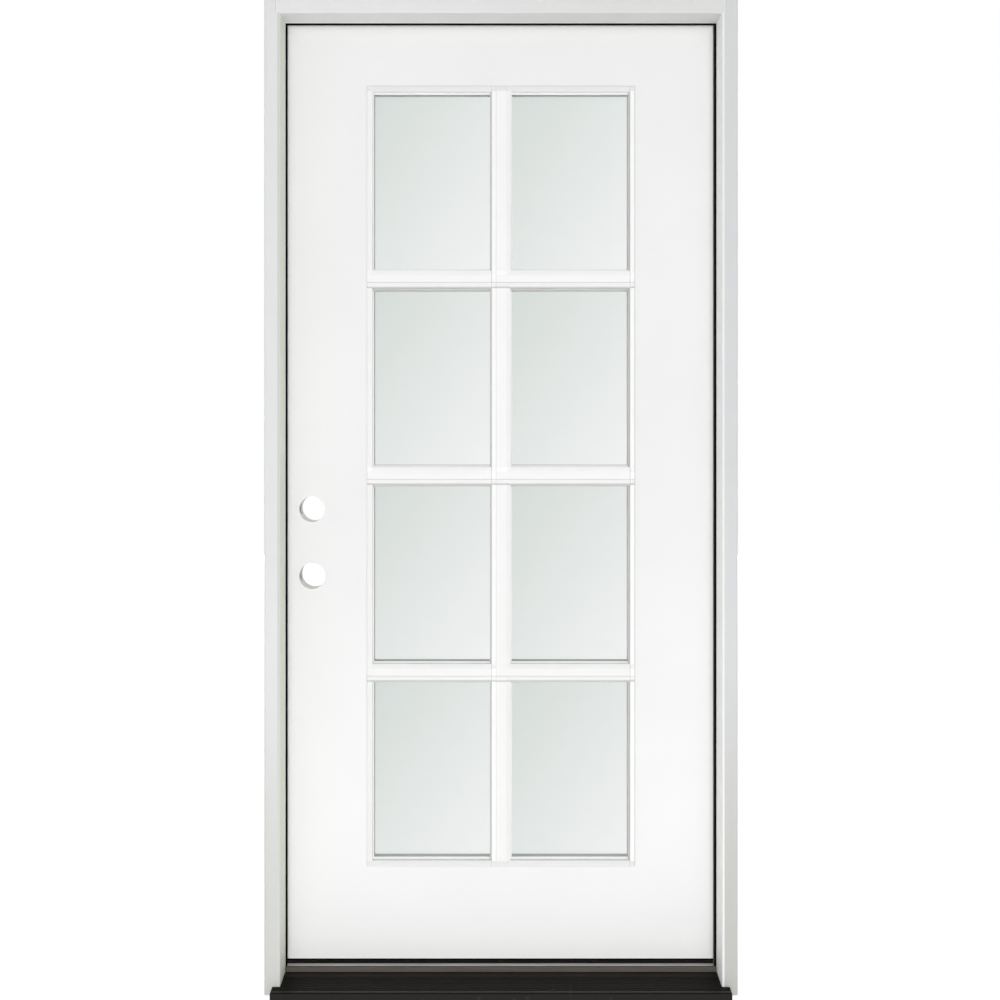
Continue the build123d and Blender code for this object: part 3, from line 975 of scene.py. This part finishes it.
@dataclass
class FlatHeadScrew:
    """A countersunk wood screw with a cross recess. Its place is the middle of its head's face."""

    head_radius: float = 0.0045
    neck_radius: float = 0.0021
    head_depth: float = 0.0022
    length: float = 0.014
    thread_pitch: float = 0.0018
    recess_arm: float = 0.0026
    recess_half: float = 0.00065
    recess_depth: float = 0.0013
    recess_taper: float = 0.7
    rim_bevel: float = 0.0002
    thread_depth: float = 0.0004
    thread_marks: Span = (0.3, 0.65)
    point_length: float = 0.003
    point_radius: float = 0.0002

    def build(self, mould: Mould, at: Point, out: Vector, turn: float) -> None:
        """Adds one screw to a mould.

        Args:
            mould: The mould.
            at: The middle of the head's face.
            out: The direction that the head faces.
            turn: How far the cross is turned, in degrees.
        """
        outline = [
            (self.head_radius - self.rim_bevel, 0.0),
            (self.head_radius, -self.rim_bevel),
            (self.neck_radius, -self.head_depth),
        ]
        root, crest = (mark * self.thread_pitch for mark in self.thread_marks)
        depth = self.head_depth
        while depth < self.length:
            outline.append((self.neck_radius, -depth - root))
            outline.append((self.neck_radius + self.thread_depth, -depth - crest))
            depth += self.thread_pitch
        outline.append((self.point_radius, -self.length - self.point_length))
        rows = mould.turned(at, out, outline)
        mould.lid(rows[-1])
        self.recess(mould, rows[0], Vector(at), out, turn)

    def recess(
        self, mould: Mould, rim: list[Vert], place: Vector, out: Vector, turn: float
    ) -> None:
        """Sinks the cross recess into the head's face.

        Args:
            mould: The mould.
            rim: The face's outer row of points.
            place: The middle of the face.
            out: The direction that it faces.
            turn: How far the cross is turned, in degrees.
        """
        a, h = self.recess_arm, self.recess_half
        corner = [(a, -h), (a, h), (h, h)]
        flat = [
            (x * c - y * s, x * s + y * c)
            for c, s in ((1, 0), (0, 1), (-1, 0), (0, -1))
            for x, y in corner
        ]
        lean = out.to_track_quat("Z", "Y").to_matrix() @ Matrix.Rotation(math.radians(turn), 3, "Z")
        top = mould.ring([tuple(place + lean @ Vector((x, y, 0))) for x, y in flat])
        taper, depth = self.recess_taper, self.recess_depth
        low = [lean @ Vector((x * taper, y * taper, -depth)) for x, y in flat]
        bottom = mould.ring([tuple(place + point) for point in low])
        mould.skin([top, bottom])
        mould.lid(bottom)
        edges = []
        for row in (rim, top):
            for pair in zip(row, [*row[1:], row[0]]):
                edges.append(mould.mesh.edges.get(pair) or mould.mesh.edges.new(pair))
        bmesh.ops.triangle_fill(mould.mesh, use_beauty=True, edges=edges)


# -------- sub-assemblies


@dataclass
class JambSet:
    """The three painted boards of the frame.

    Attributes:
        overlap: How far a band runs on past the edge of the face that it covers.
        arris_span: Where the painted shading line beside the reveal starts and ends, from the stop.
    """

    stop_x: float = 0.446525
    outer_x: float = 0.478275
    joint_x: float = 0.456025
    joint_half: float = 0.0007
    stop_underside: float = 1.9842
    shoulder_y: float = 0.0025
    overlap: float = 0.0005
    edge_width: float = 0.0022
    arris_span: Span = (0.0012, 0.0052)
    light_width: float = 0.006
    outer_edge_painted_shade: Colour = srgb(168, 170, 166)

    def side(self, face: Colour, foot: Colour, reveal: Colour, light: Colour) -> PaintedWood:
        """The paint of a side jamb.

        Args:
            face: The colour of its outside face.
            foot: The colour of that face near the floor.
            reveal: The colour of the face that looks into the doorway: painted light, a lighter
                copy of the paint set to how light falls on that side.
            light: The colour along the outside edge of that face: a painted highlight on the hinge
                jamb and painted shade on the strike jamb.

        Returns:
            The paint.
        """
        # painted light: each reveal gets its own lighter tone for the light that side of the
        # doorway gets
        inner = Band("X", -FAR, self.stop_x + self.overlap, reveal, mirrored=True)
        # painted shade: a grey line along the rounded outer edge
        edge_x = self.outer_x - self.edge_width
        edge = Band("X", edge_x, FAR, self.outer_edge_painted_shade, share=0.25, mirrored=True)
        # painted highlight along the hinge jamb's arris, painted shade along the strike jamb's
        arris_from, arris_to = (self.stop_x + past for past in self.arris_span)
        arris_painted_shading = Band("X", arris_from, arris_to, light, mirrored=True)
        return PaintedWood(face, foot, Grain.UPRIGHT, (inner, edge, arris_painted_shading))

    def dress(self) -> None:
        """Paints the side jambs and the head jamb."""
        # Tones of each side: face, foot, the reveal's painted light, and the painted shading along
        # the reveal's edge (shade on the strike side, a highlight on the hinge side).
        strike_tones = (226, 227, 227), (206, 206, 203), (235, 239, 226), (208, 209, 207)
        hinge_tones = (215, 216, 217), (194, 195, 190), (253, 254, 252), (238, 239, 238)
        strike = self.side(*(srgb(*tone) for tone in strike_tones))
        hinge = self.side(*(srgb(*tone) for tone in hinge_tones))
        # painted shading on the head: the underside gets its own tone, set for how light falls on
        # it, a painted highlight runs along the stop's back edge, and the right half is painted
        # darker as shade
        under_z = self.stop_underside + self.overlap
        under = Band("Z", -FAR, under_z, srgb(230, 231, 229))
        light_y = self.shoulder_y - self.light_width
        back_edge_painted_highlight = Band("Y", light_y, self.shoulder_y, srgb(255, 255, 254))
        joint_ends = self.joint_x - self.joint_half, self.joint_x + self.joint_half
        joint = Band("X", *joint_ends, srgb(150, 150, 146), share=0.5, mirrored=True)
        right_half_painted_shade = Band("X", 0.0, FAR, srgb(205, 207, 204), share=0.3, soft=0.25)
        face = srgb(230, 230, 230)
        above = Band("Z", under_z, FAR, face)
        head = PaintedWood(face, face, Grain.ACROSS, (under, back_edge_painted_highlight, above, right_half_painted_shade, joint))
        dress_nodes(strike.make("strike_jamb_paint"), "strike_jamb")
        dress_nodes(hinge.make("hinge_jamb_paint"), "hinge_jamb")
        dress_nodes(head.make("head_jamb_paint"), "head_jamb")


@dataclass
class Weatherstrip:
    """The black seals in the frame and the sweep under the door."""

    lip_x: float = 0.4419

    def dress(self) -> None:
        """Gives each strip its skin."""
        dress_nodes(SoftSeal().make("black_seal"), "strike_seal")
        # the hinge seal gets the painted highlight on its lip
        dress_nodes(SoftSeal(lip_from=self.lip_x).make("black_seal_hinge_side"), "hinge_seal")
        dress_nodes(SoftSeal(grain=Grain.ACROSS).make("black_seal_head"), "head_seal")
        dress_nodes(SoftSeal(grain=Grain.ACROSS).make("sweep_vinyl"), "door_sweep")


@dataclass
class Sill:
    """The sloped sill: base, bronze deck, and the cap with its adjusting screws.

    Attributes:
        lip_marks: How far behind the nose's face the groove, the lip and the step start.
        cap_marks: The depths where the cap's painted shade line on its front edge, its painted
            highlight on top, the dimmer part of that highlight, and the painted shadow under the
            door start.
        plug_profile: The outline of a cover, as radii and heights over the cap.
    """

    nose_y: float = -0.08495
    nose_turn: float = 0.0009
    lip_marks: tuple[float, float, float] = (0.0014, 0.0048, 0.0114)
    step_width: float = 0.0052
    deck_back_y: float = -0.0035
    back_width: float = 0.019
    cap_marks: tuple[float, float, float, float] = (-0.0024, 0.0034, 0.0075, 0.0142)
    cap_top: float = 0.0297
    plug_y: float = 0.0262
    plug_profile: tuple[Span, ...] = (
        (0.0062, -0.0002),
        (0.0062, 0.00015),
        (0.005828, 0.000375),
        (0.00372, 0.0005),
        (0.00155, 0.00045),
        (0.00124, 0.00015),
    )
    plug_span: float = 0.78
    plug_count: int = 5

    def dress(self) -> None:
        """Gives the sill's nodes their finishes and adds the plugs."""
        groove, lip, step = (self.nose_y + past for past in self.lip_marks)
        back_y = self.deck_back_y - self.back_width
        # painted light and shade on the deck: the nose's face and the lip are painted lighter as
        # lit, the groove and the strip behind the step are painted near black as shade, and the
        # back is lighter towards the cap
        deck = DarkBronze(
            bands=(
                Band("Y", -FAR, self.nose_y + self.nose_turn, srgb(42, 40, 39)),
                Band("Y", lip, step, srgb(58, 55, 52)),
                Band("Y", groove, lip, srgb(9, 9, 8)),
                Band("Y", step, step + self.step_width, srgb(8, 8, 7)),
                Band("Y", back_y, 0.0, srgb(55, 51, 47), share=0.85, soft=0.004),
            )
        )
        crease, painted_highlight_from, bright, painted_shadow_from = self.cap_marks
        # painted light and shade on the cap: a painted shade line on the rounded front edge, a
        # painted highlight on the top, and painted shadow where the door hangs over it
        cap = CapComposite(
            bands=(
                Band("Y", painted_highlight_from, painted_shadow_from, srgb(184, 182, 178)),
                Band("Y", painted_highlight_from, bright, srgb(200, 199, 195)),
                Band("Y", crease, painted_highlight_from, srgb(80, 74, 71)),
                Band("Y", painted_shadow_from, FAR, srgb(34, 31, 30)),
            )
        )
        dress_nodes(deck.make("dark_bronze"), "sill_deck")
        dress_nodes(SillComposite().make("sill_composite"), "sill_base")
        dress_nodes(cap.make("cap_composite"), "threshold_cap")
        self.plugs()

    def plugs(self) -> None:
        """Builds the domed covers over the cap's adjusting screws."""
        mould = Mould("cap_adjuster_covers")
        up = Vector((0, 0, 1))
        for i in range(self.plug_count):
            x = (i / (self.plug_count - 1) - 0.5) * self.plug_span
            rows = mould.turned((x, self.plug_y, self.cap_top), up, self.plug_profile)
            mould.lid(rows[-1])
        finish = CapComposite(colour=srgb(70, 66, 62)).make("cap_cover_plastic")
        mould.cast(finish, Body.FRAME)


@dataclass
class Slab:
    """The door slab: its skins, edges and filling."""

    def dress(self) -> None:
        """Gives the slab's nodes their finishes."""
        dress_nodes(FiberglassSkin().make("fiberglass_skin_outside"), "outside_skin")
        # the inside skin gets none of the painted edge light
        dress_nodes(FiberglassSkin(painted_edge_light_share=0.0).make("fiberglass_skin_inside"), "inside_skin")
        dress_nodes(EngineeredWood().make("stile_wood"), "lock_stile", "hinge_stile")
        dress_nodes(EngineeredWood(grain=Grain.ACROSS).make("rail_wood"), "top_rail", "bottom_rail")
        dress_nodes(PrimedBlock().make("lock_block_composite"), "lock_block")
        dress_nodes(RigidFoam().make("rigid_foam"), "foam_core")


@dataclass
class GlazedLite:
    """The glazed opening: two moulded frames, two sheets of glass, spacer and sealant lines.

    Attributes:
        tape_profile: The section of a sealant line, as shares of its width and its height.
    """

    outside_glass_y: float = 0.0262
    inside_glass_y: float = 0.04525
    tape_width: float = 0.003
    tape_width_across: float = 0.0042
    tape_height: float = 0.0014
    tape_profile: tuple[Span, ...] = (
        (0.0, 0.02),
        (0.0, 1.0),
        (0.45, 0.8),
        (0.8, 0.45),
        (1.0, 0.02),
    )

    def dress(self) -> None:
        """Gives the lite's nodes their finishes and adds the sealant lines."""
        dress_nodes(Moulding().make("white_moulding"), "outside_lite_frame", "inside_lite_frame")
        dress_nodes(ClearGlass().make("clear_glass"), "outside_glass", "inside_glass")
        dress_nodes(WhiteEnamel().make("spacer_enamel"), "glass_spacer")
        shaded = GlazingTape().make("glazing_sealant_outside")
        even = GlazingTape(shaded=srgb(250, 250, 249)).make("glazing_sealant_inside")
        self.tape("outside_glazing_sealant", self.outside_glass_y, -1, shaded)
        self.tape("inside_glazing_sealant", self.inside_glass_y, 1, even)

    def tape(self, name: str, glass_y: float, out: int, finish: Material) -> None:
        """Builds the sealant line round every pane on one face of the glass.

        Args:
            name: The piece's name.
            glass_y: The depth of the glass's face.
            out: 1 if the face looks along Y, and -1 if it looks the other way.
            finish: Its material.
        """
        mould = Mould(name)
        for x, z in PANES.centres():
            rows = []
            for inset, rise in self.tape_profile:
                half_x = PANES.pane_width / 2 - inset * self.tape_width
                half_z = PANES.pane_height / 2 - inset * self.tape_width_across
                y = glass_y + out * rise * self.tape_height
                left, right, low, high = x - half_x, x + half_x, z - half_z, z + half_z
                corners = [(right, y, high), (left, y, high), (left, y, low), (right, y, low)]
                rows.append(mould.ring(corners))
            mould.skin([*rows, rows[0]])
        mould.cast(finish, Body.DOOR, smooth=60.0)


@dataclass
class ButtHinges:
    """The three hinges with their screws and barrel tips.

    Attributes:
        first_turn: How far the cross of the lowest screw is turned, in degrees.
        turn_step: How much further the next one is turned.
        axis: Where the pins are, as (x, y).
        tip_profile: The outline of a barrel tip, as radii and distances below the barrel.
    """

    heights: dict[str, float] = field(
        default_factory=lambda: {"top": 1.765, "middle": 1.0289, "bottom": 0.2928}
    )
    frame_face_x: float = 0.459225
    door_face_x: float = 0.454025
    end_screw_y: float = 0.04395
    middle_screw_y: float = 0.03095
    screw_pitch: float = 0.0254
    screw_count: int = 4
    first_turn: float = 17.0
    turn_step: float = 38.0
    head_sunk: float = 0.00015
    axis: Span = (0.456625, 0.06595)
    barrel_half: float = 0.0508
    tip_profile: tuple[Span, ...] = (
        (0.003025, 0.0),
        (0.00495, 0.0),
        (0.0055, 0.00052),
        (0.00517, 0.00156),
        (0.00385, 0.00234),
        (0.001925, 0.0026),
    )

    def dress(self) -> None:
        """Gives the leaves and pins their plating, then adds the screws and the tips."""
        leaf = SatinNickel().make("satin_nickel")
        pin = SatinNickel(colour=srgb(194, 190, 182)).make("satin_nickel_pin")
        for place in self.heights:
            dress_nodes(leaf, f"frame_leaf_{place}", f"door_leaf_{place}")
            dress_nodes(pin, f"hinge_pin_{place}")
        steel = SatinNickel(colour=srgb(176, 172, 164), grain=Grain.EVEN).make("screw_plate")
        for place, z in self.heights.items():
            self.screws(f"frame_screws_{place}", z, self.frame_face_x, -1, Body.FRAME, steel)
            self.screws(f"door_screws_{place}", z, self.door_face_x, 1, Body.DOOR, steel)
            self.tip(f"barrel_tip_{place}", z, pin)

    def screws(
        self, name: str, z: float, face_x: float, out: int, body: Body, finish: Material
    ) -> None:
        """Builds the screws of a leaf.

        Args:
            name: The piece's name.
            z: The height of the hinge's middle.
            face_x: Where the leaf's bare face is.
            out: 1 if that face looks along X, and -1 if it looks the other way.
            body: What the leaf moves with.
            finish: The screws' material.
        """
        mould = Mould(name)
        screw = FlatHeadScrew()
        last = self.screw_count - 1
        for i in range(self.screw_count):
            y = self.end_screw_y if i in (0, last) else self.middle_screw_y
            at = (face_x - out * self.head_sunk, y, z + (i - last / 2) * self.screw_pitch)
            screw.build(mould, at, Vector((out, 0, 0)), self.first_turn + self.turn_step * i)
        mould.cast(finish, body)

    def tip(self, name: str, z: float, finish: Material) -> None:
        """Builds the domed button below a barrel.

        Args:
            name: The piece's name.
            z: The height of the hinge's middle.
            finish: Its material.
        """
        mould = Mould(name)
        at = (*self.axis, z - self.barrel_half)
        rows = mould.turned(at, Vector((0, 0, -1)), self.tip_profile)
        mould.lid(rows[0])
        mould.lid(rows[-1])
        mould.cast(finish, Body.FRAME, smooth=50.0)


def dress_nodes(material: Material, *nodes: str) -> None:
    """Gives CAD nodes a material.

    Args:
        material: The material.
        nodes: The nodes' names.
    """
    for name in nodes:
        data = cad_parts[name].data
        data.materials.clear()
        data.materials.append(material)
        log.info("%s: %s", name, material.name)


# -------- studio


@dataclass
class Studio:
    """The camera, the soft lights, the white surroundings and the floor."""

    camera_at: Point = (-0.002, -2.35795, 1.1808)
    focal_pixels: float = 1138.5
    sensor: float = 36.0
    horizon_row: float = 410.85
    image_pixels: int = 1000
    clip: Span = (0.05, 60.0)
    world_level: float = 0.56
    front_level: float = 0.345
    front_at: Point = (-0.3, -9.0, 1.0)
    front_size: Span = (1.4, 1.4)
    floor_light_at: Point = (0.0, -1.5, 2.4)
    floor_light_size: Span = (2.4, 0.8)
    floor_light_spread: float = 80.0
    floor_light_watts: float = 15.0
    floor_size: float = 14.0
    floor_steps: int = 24
    floor_drop: float = 0.0005
    floor_glow: float = 0.55

    def build(self) -> None:
        """Sets up everything that isn't part of the door."""
        self.camera()
        self.world()
        self.lamps()
        self.floor()
        bpy.context.scene.view_settings.view_transform = "Standard"

    def camera(self) -> None:
        """Stands the camera square on to the door, with its horizon where the photograph has it."""
        data = bpy.data.cameras.new("camera")
        data.sensor_width = self.sensor
        data.lens = self.focal_pixels * self.sensor / self.image_pixels
        data.shift_y = (self.horizon_row - self.image_pixels / 2) / self.image_pixels
        data.clip_start, data.clip_end = self.clip
        eye = place_object("camera", data)
        eye.location = self.camera_at
        eye.rotation_euler = (math.radians(90), 0, 0)
        bpy.context.scene.camera = eye

    def world(self) -> None:
        """Makes an even soft light, which looks white to the camera, in gloss and through glass."""
        world = bpy.data.worlds.new("studio")
        bpy.context.scene.world = world
        tree = NodeTree(world, "ShaderNodeOutputWorld")
        seen = tree.rays("Is Camera Ray", "Is Glossy Ray", "Is Transmission Ray")
        strength = seen * (1.0 - self.world_level) + self.world_level
        inputs = {"Color": (1, 1, 1), "Strength": strength}
        tree.close(tree.node("ShaderNodeBackground", {}, inputs))

    def lamp(
        self, name: str, at: Point, aim: Point, size: Span, watts: float
    ) -> bpy.types.Light:
        """Hangs a soft lamp, which lights the door without being mirrored in it.

        Args:
            name: The lamp's name.
            at: Its place.
            aim: The point that it faces.
            size: Its width and height, in metres.
            watts: Its power.

        Returns:
            The lamp's settings.
        """
        light = bpy.data.lights.new(name, "AREA")
        light.shape = "RECTANGLE"
        light.size, light.size_y = size
        light.energy = watts
        lamp = place_object(name, light)
        lamp.location = at
        lamp.rotation_euler = (Vector(aim) - Vector(at)).to_track_quat("-Z", "Y").to_euler()
        lamp.visible_glossy = False
        lamp.visible_transmission = False
        return light

    def lamps(self) -> None:
        """Hangs a large lamp on each side of the door and one over the floor before it."""
        x, y, z = self.front_at
        aim = (0.0, 0.0, z)
        watts = math.pi**2 * self.front_level * (x * x + y * y)
        self.lamp("front_light", self.front_at, aim, self.front_size, watts)
        self.lamp("room_light", (-x, -y, z), aim, self.front_size, watts)
        above = self.floor_light_at
        low = (above[0], above[1], 0.0)
        light = self.lamp("floor_light", above, low, self.floor_light_size, self.floor_light_watts)
        light.spread = math.radians(self.floor_light_spread)

    def floor(self) -> None:
        """Lays the pale floor, which keeps the door's shadow."""
        sheet = bmesh.new()
        steps = self.floor_steps
        bmesh.ops.create_grid(sheet, x_segments=steps, y_segments=steps, size=self.floor_size / 2)
        data = bpy.data.meshes.new("floor")
        sheet.to_mesh(data)
        sheet.free()
        ground = place_object("floor", data)
        ground.location = (0, 0, -self.floor_drop)
        recipe = Recipe("floor_paper")
        seen = recipe.rays("Is Camera Ray")
        mirrored = recipe.rays("Is Glossy Ray", "Is Transmission Ray")
        fibres = recipe.noise(60.0, detail=4.0)
        colour = recipe.mix(fibres.ramp(0.4, 0.8) * 0.3, srgb(242, 242, 242), srgb(238, 238, 238))
        paper = recipe.node("ShaderNodeBsdfDiffuse", {}, {"Color": colour})
        glow = recipe.node("ShaderNodeEmission", {}, {"Strength": seen * self.floor_glow})
        lit = recipe.node("ShaderNodeAddShader", {}, {0: paper, 1: glow})
        white = recipe.node("ShaderNodeEmission", {}, {"Strength": 1.0})
        recipe.close(recipe.node("ShaderNodeMixShader", {}, {0: mirrored, 1: lit, 2: white}))
        data.materials.append(recipe.material)


def main() -> None:
    """Dresses the door, one sub-assembly after another, and sets up the studio."""
    logging.basicConfig(level=logging.INFO, format="%(message)s")
    Studio().build()
    for assembly in (JambSet(), Weatherstrip(), Sill(), Slab(), GlazedLite(), ButtHinges()):
        assembly.dress()
        log.info("%s done", type(assembly).__name__)


if __name__ == "__main__":
    main()
